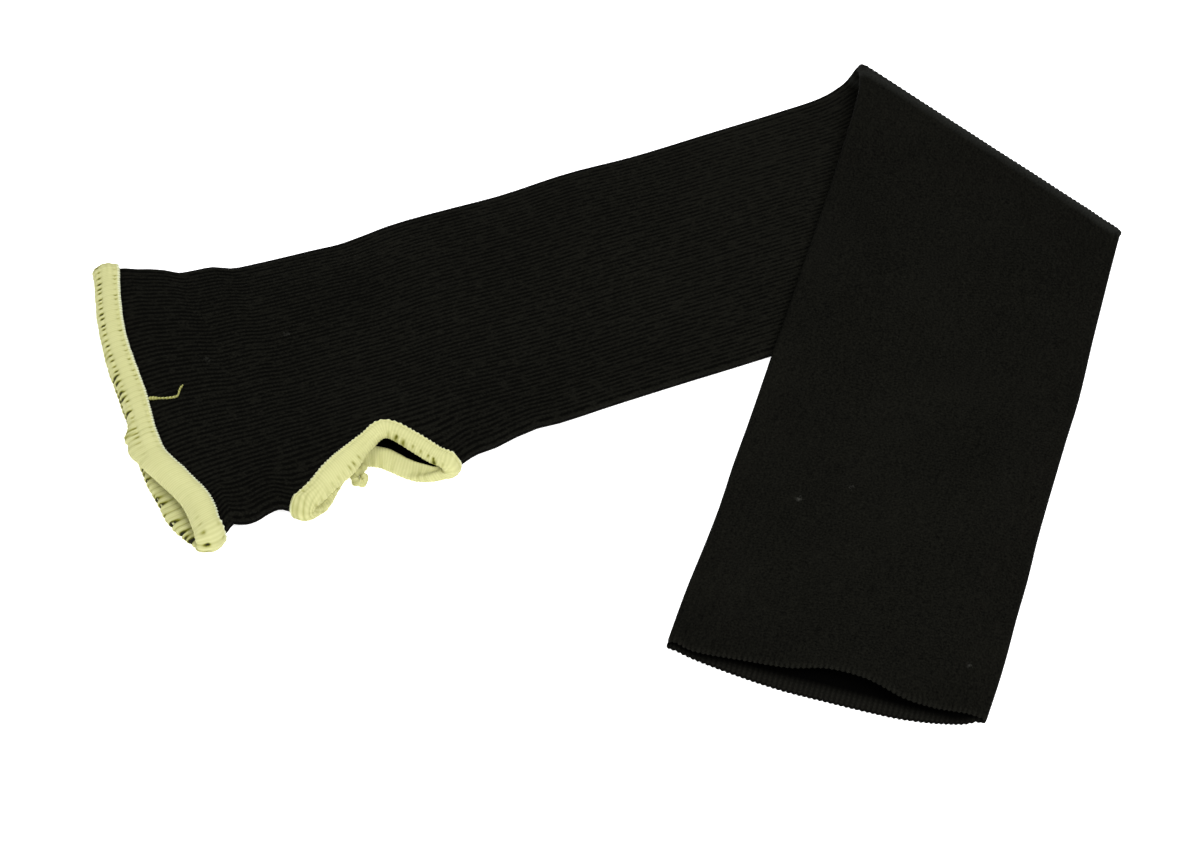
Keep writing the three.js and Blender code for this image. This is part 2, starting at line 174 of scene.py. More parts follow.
# The stitches: lengths in millimetres, and places in steps of the section
STITCH = 2.3
STITCH_LEAN = 0.02  # share of a stitch that it leans by at each step
STRANDS = 3  # strands of yarn in a stitch
STRAND_RELIEF = 0.05
STRANDS_FADE = {"from": 6, "starts": 3, "full": 7, "by": 0.4}
FULLNESS = 0.12  # how much one stitch is fuller or slimmer than the next
SCALLOPS = 2  # scallops in a stitch
SCALLOPS_AT = 1.8
NOSE_SCALLOP = 0.1
NOSE_SCALLOP_REACH = 2
WRAPS_PER_STEP = 0.62
WRAP_SHARPNESS = 3
GROOVE_SHARPNESS = 4
HAND_RING = {"length": 250, "facets": 1100, "notches_at": 9.7, "scallop": 0.24}
THUMB_RING = {"length": 104, "facets": 480, "notches_at": 10.7, "scallop": 0.16}

# The gaps between the stitches: notches near the nose, notches near the border, and teeth on the nose
OUTER, INNER, TEETH = range(3)
GAP_WIDTH = (0.16, 0.13, 0.28)  # shares of a stitch
GAP_REACH = (0.95, 0.75, 1.7)  # steps of the section
GAP_SHIFT = 0.18
GAP_STRENGTH = (0.35, 1.25)
INNER_NOTCHES_AT = 4
TEETH_AT_TOP = 12
TEETH_AT_UNDER = 13.6
TEETH_CHANGE_OVER = (0.42, 0.52)  # shares round the edging between the layer on top and the one under it
TOOTH_STRENGTH = 1.7
TOOTH_RARITY = 2.5
RIDGE_STRENGTH = (0.2, 1.3)
NOTCH_DEPTH = 0.5
TOOTH_DEPTH = 0.45
GROOVE_DEPTH = 0.25
TOOTH_DARKNESS = 1.3
# painted shade in the grooves between the stitches and in those round the band
GROOVE_SHADE = 0.25
WRAP_SHADE = 0.35
CREVICE_SHADE = {"starts": 16.5, "full": 18.5, "darkness": 0.45}  # painted shade where the band's inside meets the cloth

# The two edgings, by share round them
HAND_BAND = {
    "share": (
        0, 0.04, 0.15, 0.22, 0.26, 0.285, 0.298, 0.305, 0.313, 0.322, 0.335, 0.347, 0.37,
        0.42, 0.46, 0.485, 0.5, 0.52, 0.54, 0.57, 0.62, 0.67, 0.72, 0.8, 0.9, 1,
    ),
    "depth": (  # reach into the cloth outside
        7, 7, 7, 6.9, 6.7, 6.6, 6.6, 6.6, 6.6, 6.7, 6.8, 6.9, 7.1,
        7.2, 7, 6.6, 6.4, 6.2, 6.2, 6.2, 6.2, 6.2, 6.2, 6.4, 6.8, 7,
    ),
    "nose": (  # reach past the cut edge
        1.9, 1.9, 1.9, 1.9, 1.9, 2.2, 4.2, 4.4, 3.7, 4.2, 3.9, 2.6, 2,
        1.9, 2.1, 2.6, 3.2, 3, 2.2, 1.3, 1, 0.9, 0.9, 0.9, 1.4, 1.9,
    ),
    "inside": (  # reach into the cloth inside
        6, 6, 6, 6, 6, 6, 6, 6, 6, 6, 6, 6, 6,
        6, 6, 7, 8, 9.5, 10, 10, 10, 9.5, 8, 7, 6, 6,
    ),
    "outside_round": (  # from a flat band to a fat roll
        0.45, 0.1, 0, 0, 0.05, 0.15, 0.25, 0.35, 0.5, 0.6, 0.75, 0.9, 1,
        1, 1, 0.9, 0.7, 0.4, 0.1, 0, 0, 0, 0, 0, 0.1, 0.45,
    ),
    "inside_round": (  # from a flat band to a fat roll
        0, 0, 0, 0, 0, 0, 0, 0, 0, 0, 0, 0, 0,
        0, 0.1, 0.3, 0.4, 0.3, 0.1, 0, 0, 0, 0, 0, 0, 0,
    ),
    "outer": (  # strength of the notches near the nose
        1, 1.5, 1.4, 0.9, 0.6, 0.6, 0.5, 0.5, 0.5, 0.4, 0.25, 0.1, 0,
        0, 0.1, 0.9, 1.1, 0.5, 0.5, 0.5, 0.5, 0.5, 0.5, 0.5, 0.7, 1,
    ),
    "inner": (  # strength of the notches near the border
        0.3, 0.5, 0.6, 0.5, 0.4, 0.4, 0.35, 0.3, 0.3, 0.25, 0.2, 0.1, 0,
        0, 0.05, 0.3, 0.3, 0.2, 0.2, 0.2, 0.2, 0.2, 0.2, 0.3, 0.5, 0.3,
    ),
    "teeth": (  # strength of the teeth on the nose
        0.3, 0, 0.2, 0.9, 1.6, 1.5, 0.6, 0.3, 0.3, 0.3, 0.2, 0.1, 0,
        0, 0, 0.1, 0.6, 1.3, 2.1, 2.6, 2.7, 2.6, 2.2, 1.2, 0.5, 0.3,
    ),
    "ridges": (  # strength of the grooves between stitches
        0.3, 0.25, 0.25, 0.25, 0.25, 0.3, 0.4, 0.5, 0.5, 0.35, 0.25, 0.18, 0.14,
        0.14, 0.16, 0.25, 0.5, 0.8, 1, 1.1, 1.1, 1.1, 1, 0.7, 0.4, 0.3,
    ),
    "wraps": (  # strength of the grooves along the edging
        0.6, 0, 0, 0, 0, 0, 0, 0, 0, 0, 0, 0, 0,
        0, 0, 0, 0, 0, 0, 0, 0, 0, 0, 0, 0, 0.6,
    ),
}
THUMB_BAND = {
    "share": (
        0, 0.03, 0.08, 0.14, 0.18, 0.22, 0.27, 0.31, 0.36, 0.42, 0.47,
        0.5, 0.54, 0.6, 0.66, 0.74, 0.8, 0.86, 0.92, 0.97, 1,
    ),
    "depth": (
        5.4, 6, 6.6, 6.6, 6, 5, 3.9, 4, 4.2, 4.3, 4.2,
        4.2, 4.4, 4.8, 5, 5, 5, 5, 5, 5, 5.4,
    ),
    "nose": (
        1, 1.2, 2, 2.8, 2.6, 1.9, 1.5, 1.5, 1.6, 1.5, 1.2,
        1.3, 3.4, 5.3, 5, 3, 2.4, 2.2, 2.4, 1.6, 1,
    ),
    "inside": (
        5, 5, 5, 5, 5, 5, 4.2, 4.4, 4.6, 4.6, 3.6,
        2.6, 1.6, 1.8, 3, 4.6, 5, 5.2, 5, 5, 5,
    ),
    "outside_round": (
        0.2, 0.3, 0.4, 0.4, 0.3, 0.2, 0.1, 0.1, 0.1, 0.1, 0.1,
        0.1, 0.1, 0.1, 0.1, 0.1, 0.1, 0.1, 0.2, 0.2, 0.2,
    ),
    "inside_round": (
        0, 0, 0, 0, 0, 0, 0, 0, 0, 0, 0.1,
        0.3, 0.7, 1, 1, 1, 1, 0.8, 0.4, 0.1, 0,
    ),
    "outer": (
        0.3, 0.5, 0.35, 0.2, 0.9, 0.1, 0, 0.05, 0.45, 0.4, 0.6,
        0.4, 0.1, 0.1, 0.1, 0.1, 0.1, 0.1, 0.1, 0.2, 0.3,
    ),
    "inner": (
        0.2, 0.3, 0.1, 0.05, 0.05, 0.05, 0, 0.05, 0.05, 0.05, 0.1,
        0.1, 0.1, 0.1, 0.1, 0.1, 0.1, 0.1, 0.1, 0.1, 0.2,
    ),
    "teeth": (
        0, 0, 0, 0, 0, 0, 0, 0.1, 0.3, 0.5, 0.5,
        0.3, 0.1, 0.2, 0.2, 0.2, 0.2, 0.2, 0.1, 0, 0,
    ),
    "ridges": (
        0.3, 0.25, 0.12, 0.06, 0.06, 0.06, 0.06, 0.06, 0.08, 0.12, 0.15,
        0.15, 0.12, 0.12, 0.12, 0.15, 0.25, 0.6, 0.6, 0.4, 0.3,
    ),
    "wraps": (
        1, 0.5, 0, 0, 0, 0, 0, 0, 0, 0, 0,
        0, 0, 0, 0, 0, 0, 0, 0, 0.5, 1,
    ),
}

# The loose thread at the hand edging, on the cloth, and the curled tuft of yarn at the thumb hole
TAIL = {
    "along": (4.5, 6.6, 8.8, 10.9, 13.5, 16, 17, 18.2, 19.8),
    "girth": (62.3, 61.3, 60.3, 58.9, 57.2, 55.7, 55.6, 57, 58.8),
    "out": (2.2, 1.7, 1.4, 1.45, 1.4, 1.45, 1.6, 2, 1.7),
    "radius": (0.36, 0.4, 0.66, 0.34, 0.4, 0.42, 0.32, 0.38, 0.36),
}
TUFT = {
    "x": (-250.5, -252.4, -254.5, -255.6, -255.3, -253.9, -252.9, -253, -253.9),
    "y": (-44.1, -45.2, -46.1, -47.2, -48.6, -49.1, -48.8, -48, -47.8),
    "z": (3.6, 3.6, 3.4, 2.8, 2.2, 1.9, 2.2, 2.8, 3.2),
    "radius": (1.3, 1.5, 1.5, 1.45, 1.45, 1.5, 1.5, 1.4, 1.2),
}
TAIL_SHADE = 0.38
TUFT_SHADE = 0.08
PLY_RELIEF = 0.2  # share of the radius by which the twisted plies stand out
PLY_SHADE = 0.4
END_TAPER = 12
ROUTE_NUDGE = 0.001
PLAIN_YARN_AT = 6  # the step of an edging's section whose finish the loose yarn has

# Camera and light, in metres and degrees
CAMERA_TARGET = (-0.00332, -0.01835, 0)
CAMERA_DISTANCE = 1.107
CAMERA_ELEVATION = math.radians(51.85)
CAMERA_LENS = 100
SENSOR_WIDTH = 36
FLOOR_SIZE = 4
FLOOR_GLOW = 0.8
SKY_STRENGTH = 0.22
LIGHTS = {
    "back_light": {"place": (0.45, 1.5, 1.5), "size": 1, "power": 24},
    "front_light": {"place": (0.7, -0.9, 1.7), "size": 0.9, "power": 33},
    "left_light": {"place": (-1, -0.9, 1.2), "size": 0.8, "power": 15},
}

# Colours
WHITE = (1, 1, 1, 1)
FLOOR_WHITE = (0.9, 0.9, 0.9, 1)
KNIT_DARK = (0.0011, 0.0011, 0.0008, 1)
KNIT_PALE = (0.0076, 0.0075, 0.0055, 1)
# painted highlight of grazing light on the fold's fuzz
FOLD_HIGHLIGHT = (0.02, 0.021, 0.019, 1)
# painted highlight on the rib crests at the arm's rim
RIM_HIGHLIGHT = (0.015, 0.0147, 0.0115, 1)
# painted shadow inside the tube, and the painted light near the mouth
INSIDE_SHADOW = (0.0003, 0.0003, 0.0002, 1)
INSIDE_LIT = (0.0085, 0.0083, 0.0066, 1)
LINT = (0.03, 0.03, 0.026, 1)
HAND_YARN = {"deep": (0.42, 0.42, 0.185, 1), "pale": (0.55, 0.545, 0.28, 1), "border_shows": 1}
THUMB_YARN = {"deep": (0.432, 0.432, 0.189, 1), "pale": (0.57, 0.56, 0.28, 1), "border_shows": 0.6}
PALE_BORDER = (0.66, 0.71, 0.56, 1)
PALE_BORDER_AT = 1.6
OLIVE_SHADE = (0.17, 0.17, 0.012, 1)
KNIT_BEHIND = (0.012, 0.012, 0.006, 1)

BAKE_MAP = "OFBake"
STITCH_MAP = "stitches"
TAU = 2 * math.pi
chance = np.random.default_rng(4009)


# The cloth's map: from distances along and round the tube to a place in the folded sleeve
def smooth(value, start, end):
    share = np.clip((value - start) / (end - start), 0, 1)
    return share * share * (3 - 2 * share)


def ripple(count):
    """1 at each whole count, and 0 halfway between two."""
    return 0.5 + 0.5 * np.cos(TAU * count)


def follow(table, column, at):
    """A column of a table at any distance, on a smooth curve through its rows."""
    x = np.array(next(iter(table.values())), float)
    y = np.array(table[column], float)
    slope = np.empty_like(y)
    slope[1:-1] = (y[2:] - y[:-2]) / (x[2:] - x[:-2])
    slope[0] = 1.5 * (y[1] - y[0]) / (x[1] - x[0]) - 0.5 * slope[1]
    slope[-1] = 1.5 * (y[-1] - y[-2]) / (x[-1] - x[-2]) - 0.5 * slope[-2]
    at = np.clip(at, x[0], x[-1])
    i = np.clip(np.searchsorted(x, at, side="right") - 1, 0, len(x) - 2)
    run = x[i + 1] - x[i]
    u = (at - x[i]) / run
    start = (1 + 2 * u) * (1 - u) ** 2 * y[i] + u * (1 - u) ** 2 * run * slope[i]
    end = u * u * (3 - 2 * u) * y[i + 1] - u * u * (1 - u) * run * slope[i + 1]
    return start + end


def section(along):
    """Sizes of the flattened tube's section, on the middle of the wall."""
    s = SimpleNamespace(**{name: follow(LOFT, name, along) for name in LOFT})
    s.near = follow(OUTLINE, "near", along) + KNIT / 2
    s.far = follow(OUTLINE, "far", along) - KNIT / 2
    s.near_turn = (KNIT + s.near_gap) / 2
    s.far_turn = (KNIT + s.far_gap) / 2
    s.flat = s.far - s.near - s.near_turn - s.far_turn
    s.near_quarter = s.near_turn * math.pi / 2
    s.half_girth = s.near_quarter + s.flat + s.far_turn * math.pi / 2
    return s


def pillow(u):
    return np.maximum(0, 1 - u**4) ** 1.5


def raised(along, from_near):
    """How far the cloth is raised by the edgings under it."""
    hand = 1 - smooth(along, HAND_RAISED["flat"], HAND_RAISED["ends"])
    beside = smooth(along, THUMB_RAISED["starts"], THUMB_RAISED["full"])
    beside = beside - smooth(along, THUMB_RAISED["flat"], THUMB_RAISED["ends"])
    thumb = beside * (1 - smooth(from_near, THUMB_RAISED["reach"], THUMB_RAISED["fades"]))
    return EDGING_RISE * (1 - (1 - hand) * (1 - thumb))


def flat_point(along, girth):
    """Place across the flattened tube, and height of the wall's middle."""
    s = section(along)
    on_top = girth >= 0
    side = np.where(on_top, 1, -1)
    reach = np.abs(girth)
    share = np.clip((reach - s.near_quarter) / s.flat, 0, 1)
    puckers = s.near - follow(NEAR_TREND, "near", along)
    settled = (share - smooth(share, 0, PUCKERS_FADE_OVER)) * puckers
    u = 2 * share - 1
    edges = 2 * (s.near_turn + (s.far_turn - s.near_turn) * smooth(share, 0, 1))
    under = -s.under_pillow * pillow(u) - s.under_arch * (1 - u * u) ** 2
    near_turned = reach / s.near_turn
    far_turned = (s.half_girth - reach) / s.far_turn
    by_near = reach < s.near_quarter
    by_far = reach > s.near_quarter + s.flat
    across = np.select(
        [by_near, by_far],
        [
            s.near + s.near_turn * (1 - np.cos(near_turned)),
            s.far - s.far_turn * (1 - np.cos(far_turned)),
        ],
        s.near + s.near_turn + share * s.flat + settled,
    )
    level = np.select(
        [by_near, by_far, on_top],
        [
            s.near_turn * (1 + side * np.sin(near_turned)),
            s.far_turn * (1 + side * np.sin(far_turned)),
            edges + s.pillow * pillow(u),
        ],
        under,
    )
    return across, KNIT / 2 + level + raised(along, across - s.near)


def resting_height(along, across):
    """Height that the arm half rests at: on the hand half, then down to the floor beside it."""
    s = section(along)
    u = np.clip(2 * (across - s.near) / (s.far - s.near) - 1, -1, 1)
    on_hand_half = smooth(across, s.near - DRAPE_RUN, s.near + DRAPE_START)
    return (FLAT_HEIGHT + s.pillow * pillow(u) + HALVES_GAP) * on_hand_half


def fold_over(x, y, height):
    """Folds the flattened tube: x runs along the hand half from the fold line, y across it."""
    sin, cos = math.sin(FOLD_SLANT), math.cos(FOLD_SLANT)
    past = x * sin + y * cos
    beside = x * cos - y * sin
    radius = ROLL_RADIUS - ROLL_TAPER * np.clip(beside, -FLAT_WIDTH / 2, FLAT_WIDTH / 2)
    neutral = radius - ROLL_NEUTRAL
    roll_start = -neutral * math.pi / 2
    turn = np.clip((past - roll_start) / neutral, 0, math.pi)
    before, rolled = turn == 0, turn < math.pi
    rolled_past = roll_start + (radius - height) * np.sin(turn)
    folded_past = np.select([before, rolled], [past, rolled_past], -past)
    folded_x = folded_past * sin + beside * cos
    folded_y = folded_past * cos - beside * sin
    settled = smooth(roll_start - folded_past, 0, ROLL_SETTLES_OVER)
    rest = resting_height(folded_x + HAND_TO_FOLD, folded_y)
    base = (2 * radius - FLAT_HEIGHT) * (1 - settled) + rest * settled
    rolled_height = radius - (radius - height) * np.cos(turn)
    z = np.select([before, rolled], [height, rolled_height], base + FLAT_HEIGHT - height)
    return np.stack([folded_x, folded_y, z], axis=-1)


def wall_point(along, girth):
    across, height = flat_point(along, girth)
    return fold_over(along - HAND_TO_FOLD, across, height)


def cloth_point(along, girth, out):
    """A point that stands a given distance outside the middle of the wall."""
    runs = wall_point(along + NUDGE, girth) - wall_point(along - NUDGE, girth)
    rounds = wall_point(along, girth + NUDGE) - wall_point(along, girth - NUDGE)
    outward = np.cross(runs, rounds)
    outward /= np.linalg.norm(outward, axis=-1, keepdims=True)
    return wall_point(along, girth) + outward * np.asarray(out)[..., None]


def in_row(points):
    """Turns places in the folded sleeve into metres in the part's frame, none below the floor."""
    x, y, z = points.T
    sin, cos = math.sin(HAND_HEADING), math.cos(HAND_HEADING)
    turned = (cos * x - sin * y + FOLD_MIDDLE[0], sin * x + cos * y + FOLD_MIDDLE[1])
    return np.stack([*turned, np.maximum(z, 0)], axis=-1) * MM


def round_tube(share):
    """Turn from the far edge on top (1) by the near edge (0) to under it (-1), and place across."""
    turn = 1 - 2 * share
    flat = np.clip((np.abs(turn) - TURN_SHARE) / (1 - 2 * TURN_SHARE), 0, 1)
    return turn, 2 * flat - 1


def along_line(station, turn, across):
    """Distance from the hand rim of a station's line, which follows the rims and the fold."""
    on_top = turn >= 0
    at_hand = 1 - smooth(station, 0, RIM_FADES_OVER)
    at_arm = smooth(station, SLEEVE_LENGTH - RIM_FADES_OVER, SLEEVE_LENGTH)
    hand, arm = (
        np.where(on_top, follow(rim, "top", across), follow(rim, "under", across))
        for rim in (HAND_RIM, ARM_RIM)
    )
    skew = smooth(station, SKEW["starts"], SKEW["full"])
    skew = skew - smooth(station, SKEW["flat"], SKEW["ends"])
    slant = skew * across * FLAT_WIDTH / 2 / math.tan(FOLD_SLANT)
    return station + hand * at_hand - arm * at_arm - slant


def closed_curve(table, share):
    """Points and directions on a closed smooth curve through a table's rows."""
    points = np.array(list(table.values()), float).T
    looped = np.concatenate([points[-2:], points, points[:3]])
    lengths = np.linalg.norm(np.diff(looped, axis=0), axis=1)
    knots = np.concatenate([[0], np.cumsum(lengths)])
    knots -= knots[2]
    rows = {"at": knots, "x": looped[:, 0], "y": looped[:, 1]}
    at = share * knots[-3]
    here, ahead, behind = (
        np.stack([follow(rows, "x", place), follow(rows, "y", place)])
        for place in (at, at + NUDGE, at - NUDGE)
    )
    runs = ahead - behind
    return here, runs / np.linalg.norm(runs, axis=0)


# Making meshes
def corner_shares(mesh):
    """Shares round and along its grid of each face corner."""
    shares = np.empty(2 * len(mesh.loops), np.float32)
    mesh.uv_layers[BAKE_MAP].data.foreach_get("uv", shares)
    return shares.reshape(-1, 2).T


def plain_map(share, along_share):
    """A stitch map that counts no stitches."""
    return share, along_share


def grid_piece(name, around, along, place, stitch_map=plain_map):
    """A grid closed into a ring. place gives each corner's place, from its shares round and along."""
    shape = bmesh.new()
    shape.loops.layers.uv.new(BAKE_MAP)
    bmesh.ops.create_grid(shape, x_segments=around, y_segments=along, size=0.5, calc_uvs=True)
    shares = np.array([corner.co for corner in shape.verts]) + 0.5
    for corner, point in zip(shape.verts, place(shares[:, 0], shares[:, 1])):
        corner.co = point
    bmesh.ops.remove_doubles(shape, verts=shape.verts, dist=0.001 * MM)
    bmesh.ops.recalc_face_normals(shape, faces=shape.faces)
    mesh = bpy.data.meshes.new(name)
    shape.to_mesh(mesh)
    shape.free()
    mesh.shade_smooth()
    counted = mesh.uv_layers.new(name=STITCH_MAP)
    counts = np.stack(stitch_map(*corner_shares(mesh)), axis=-1).astype(np.float32)
    counted.data.foreach_set("uv", counts.ravel())
    piece = bpy.data.objects.new(name, mesh)
    bpy.context.scene.collection.objects.link(piece)
    return piece


def knit_rows():
    """Rows of facets: outside from hand to arm, round the rim and back inside, as (station, face)."""

    def stations(face):
        rows, start = [0], 0
        for end, steps in zip(KNIT_ROWS["to"], KNIT_ROWS[face]):
            rows.extend(np.linspace(start, end, steps + 1)[1:])
            start = end
        return rows

    outside = [(station, 1) for station in stations("outside")]
    inside = [(station, -1) for station in reversed(stations("inside"))]
    arm_lip = (SLEEVE_LENGTH + RIM_LIP, 0)
    hand_lip = (-RIM_LIP, 0)
    return np.array([*outside, arm_lip, *inside, hand_lip, outside[0]])


def knit_tube():
    rows = knit_rows()
    last = len(rows) - 1

    def place(share, along_share):
        station, face = rows[np.rint(along_share * last).astype(int)].T
        turn, across = round_tube(share)
        ridge = (1 - ripple(RIBS * share)) ** RIB_FULLNESS
        by_rim = smooth(station, SLEEVE_LENGTH - RIM_TEETH_RUN, SLEEVE_LENGTH)
        along = along_line(station, turn, across) + RIM_TEETH * (ridge - 0.5) * by_rim
        girth = turn * section(along).half_girth
        out = face * (KNIT / 2 - follow(RIB_RELIEF, "depth", station) * (1 - ridge))
        return in_row(cloth_point(along, girth, out))

    def stitch_map(share, along_share):
        station, face = (
            np.interp(along_share * last, np.arange(last + 1), column) for column in rows.T
        )
        return share * RIBS + np.where(face < 0, INSIDE_RIBS, 0), station / COURSE

    return grid_piece("knit_tube_cloth", RIBS * RIB_STEPS, last, place, stitch_map)


def thumb_cutter():
    """The piece of cloth that the thumb hole takes away, a little thicker than the wall."""
    reaches = np.linspace(0, 1, CUTTER_RINGS)
    outside = [(reach, 1) for reach in reaches]
    inside = [(reach, -1) for reach in reversed(reaches)]
    profile = np.array([*outside, *inside])
    last = len(profile) - 1

    def place(share, along_share):
        reach, face = profile[np.rint(along_share * last).astype(int)].T
        (along, girth), _ = closed_curve(THUMB_HOLE, share)
        along = THUMB_MIDDLE["along"] + (along - THUMB_MIDDLE["along"]) * reach
        girth = THUMB_MIDDLE["girth"] + (girth - THUMB_MIDDLE["girth"]) * reach
        return in_row(cloth_point(along, girth, face * (KNIT / 2 + CUTTER_PAST_WALL)))

    return grid_piece("thumb_cutter", CUTTER_FACETS, last, place)


def cut_hole(piece, cutter):
    hole = piece.modifiers.new("thumb_hole", "BOOLEAN")
    hole.operation = "DIFFERENCE"
    hole.solver = "EXACT"
    hole.object = cutter
    whole = piece.data
    evaluated = piece.evaluated_get(bpy.context.evaluated_depsgraph_get())
    piece.data = bpy.data.meshes.new_from_object(evaluated)
    piece.data.name = piece.name
    piece.modifiers.clear()
    bpy.data.meshes.remove(whole)
    bpy.data.objects.remove(cutter)


def edging_section(step, band):
    """Places of the section's steps: into the cloth and out of its wall."""
    into = follow(EDGING_SECTION, "into", step)
    outside = (step < NOSE_AT) | (step > OUTSIDE_SEAT)
    reach = np.select(
        [into < 0, outside],
        [band.nose / SECTION_NOSE, band.depth / SECTION_DEPTH],
        band.inside / SECTION_INSIDE,
    )
    flat, full = (follow(EDGING_SECTION, column, step) for column in ("flat", "round"))
    return into * reach, flat + (full - flat) * np.where(outside, band.outside_round, band.inside_round)


def edging(name, ring, bands, lay):
    """A ring of overlock stitches. lay puts a point of its section on the cloth."""
    last = len(SECTION_STEPS) - 1
    stitches = round(ring["length"] / STITCH)
    shift = chance.uniform(-GAP_SHIFT, GAP_SHIFT, (3, stitches))
    strength = chance.uniform(*GAP_STRENGTH, (3, stitches))
    strength[TEETH] = TOOTH_STRENGTH * chance.uniform(0, 1, stitches) ** TOOTH_RARITY
    fullness = chance.uniform(-1, 1, stitches)
    ridge_strength = chance.uniform(*RIDGE_STRENGTH, stitches)

    def band_at(share):
        return SimpleNamespace(**{column: follow(bands, column, share) for column in bands})

    def step_at(along_share):
        return SECTION_STEPS[np.rint(along_share * last).astype(int)]

    def relief(share, step, band):
        """How far the stitches swell out of the section, and how dark the gaps between them are, with
        painted shade in the grooves and the crevice.
        """
        count = share * stitches
        nearest = np.rint(count).astype(int) % stitches

        def gaps(row, amount, at):
            """Dips between the stitches along one line of the section."""
            beside = (count - np.rint(count) - shift[row][nearest]) / GAP_WIDTH[row]
            past = (step - at) / GAP_REACH[row]
            return strength[row][nearest] * amount * np.exp(-(beside**2) - past**2)

        notches = gaps(OUTER, band.outer, ring["notches_at"]) + gaps(INNER, band.inner, INNER_NOTCHES_AT)
        under = smooth(share, *TEETH_CHANGE_OVER)
        teeth = gaps(TEETH, band.teeth, TEETH_AT_TOP + (TEETH_AT_UNDER - TEETH_AT_TOP) * under)
        leaning = count + STITCH_LEAN * (step - NOSE_AT)
        ridge = ridge_strength[np.rint(leaning).astype(int) % stitches] * band.ridges
        groove = ridge * ripple(leaning) ** GROOVE_SHARPNESS
        wraps = band.wraps * ripple(WRAPS_PER_STEP * step) ** WRAP_SHARPNESS

        in_crevice = smooth(step, CREVICE_SHADE["starts"], CREVICE_SHADE["full"]) * (1 - band.inside_round)
        # painted shade in the grooves and in the crevice
        painted_shade_lines = GROOVE_SHADE * groove + WRAP_SHADE * wraps + CREVICE_SHADE["darkness"] * in_crevice
        dark = np.clip(notches + TOOTH_DARKNESS * teeth + painted_shade_lines, 0, 1)

        away = smooth(np.abs(step - STRANDS_FADE["from"]), STRANDS_FADE["starts"], STRANDS_FADE["full"])
        strands = STRAND_RELIEF * np.sin(TAU * STRANDS * count) * (1 - STRANDS_FADE["by"] * away)
        fuller = np.interp(count % stitches, np.arange(stitches + 1), [*fullness, fullness[0]])
        on_border = np.exp(-((step - SCALLOPS_AT) ** 2))
        on_nose = np.exp(-(((step - NOSE_AT) / NOSE_SCALLOP_REACH) ** 2))
        scallop = (ring["scallop"] * on_border + NOSE_SCALLOP * on_nose) * np.cos(TAU * SCALLOPS * count)
        dips = NOTCH_DEPTH * notches + TOOTH_DEPTH * teeth + GROOVE_DEPTH * (groove + wraps)
        swell = strands + FULLNESS * fuller + scallop - dips

        showing = smooth(step, *SHOWS_OVER) * (1 - smooth(step, *HIDES_OVER))
        return swell * showing, dark * showing

    def place(share, along_share):
        step, band = step_at(along_share), band_at(share)
        swell, _ = relief(share, step, band)
        into, out = edging_section(step, band)
        ahead, behind = (edging_section(step + by, band) for by in (SECTION_NUDGE, -SECTION_NUDGE))
        runs_into, runs_out = (after - before for after, before in zip(ahead, behind))
        length = np.maximum(np.hypot(runs_into, runs_out), 1e-9)
        return in_row(lay(share, out - runs_into / length * swell, into + runs_out / length * swell))

    def stitch_map(share, along_share):
        return share * stitches, np.interp(along_share * last, np.arange(last + 1), SECTION_STEPS)

    def gap_and_shade(share, along_share):
        return relief(share, step_at(along_share), band_at(share))[1]

    piece = grid_piece(name, ring["facets"], last, place, stitch_map)
    paint_gaps_and_shade(piece, gap_and_shade)
    return piece


def paint_gaps_and_shade(piece, gap_and_shade):
    """Marks on each face corner how dark it is between the stitches there, painted shade in the grooves
    and crevices included.
    """
    layer = piece.data.attributes.new("gap_and_shade", "FLOAT", "CORNER")
    layer.data.foreach_set("value", gap_and_shade(*corner_shares(piece.data)).astype(np.float32))


def hand_edging():
    def lay(share, out, into):
        turn, across = round_tube(share)
        along = along_line(np.zeros_like(share), turn, across) + into
        return cloth_point(along, turn * section(along).half_girth, out)

    return edging("hand_edging_stitches", HAND_RING, HAND_BAND, lay)


def thumb_edging():
    def lay(share, out, into):
        (along, girth), (runs_along, runs_round) = closed_curve(THUMB_HOLE, share)
        return cloth_point(along - runs_round * into, girth + runs_along * into, out)

    return edging("thumb_edging_stitches", THUMB_RING, THUMB_BAND, lay)


def strand(name, points, radii, sides, steps, twists, shade):
    """A length of twisted yarn along a route, tapered at its ends."""
    columns = {axis: points[:, i] for i, axis in enumerate("xyz")}
    route = {"at": np.linspace(0, 1, len(points)), **columns, "radius": radii}

    def on_route(at):
        return np.stack([follow(route, axis, at) for axis in "xyz"], axis=-1)

    def place(share, along_share):
        at = np.clip(along_share, 0, 1 - ROUTE_NUDGE)
        here = on_route(at)
        runs = on_route(at + ROUTE_NUDGE) - here
        runs /= np.linalg.norm(runs, axis=-1, keepdims=True)
        side = np.cross(runs, [0, 0, 1])
        side /= np.linalg.norm(side, axis=-1, keepdims=True)
        up = np.cross(side, runs)
        angle = TAU * share
        plies = 1 + PLY_RELIEF * np.cos(2 * (angle - TAU * twists * along_share))
        ends = np.sqrt(np.clip(1 - np.abs(2 * along_share - 1) ** END_TAPER, 0, 1))
        reach = follow(route, "radius", along_share) * plies * ends * MM
        return here + (side * np.cos(angle)[:, None] + up * np.sin(angle)[:, None]) * reach[:, None]

    def stitch_map(share, along_share):
        return share, PLAIN_YARN_AT + along_share

    def gap_and_shade(share, along_share):
        return shade * (1 + PLY_SHADE * np.cos(TAU * 2 * twists * along_share))

    piece = grid_piece(name, sides, steps, place, stitch_map)
    paint_gaps_and_shade(piece, gap_and_shade)
    return piece


def thread_tail():
    *places, radii = (np.array(column, float) for column in TAIL.values())
    route = in_row(cloth_point(*places))
    return strand("thread_tail", route, radii, sides=8, steps=90, twists=9, shade=TAIL_SHADE)


def yarn_tuft():
    *places, radii = (np.array(column, float) for column in TUFT.values())
    route = in_row(np.stack(places, axis=-1))
    return strand("yarn_tuft", route, radii, sides=16, steps=80, twists=3, shade=TUFT_SHADE)


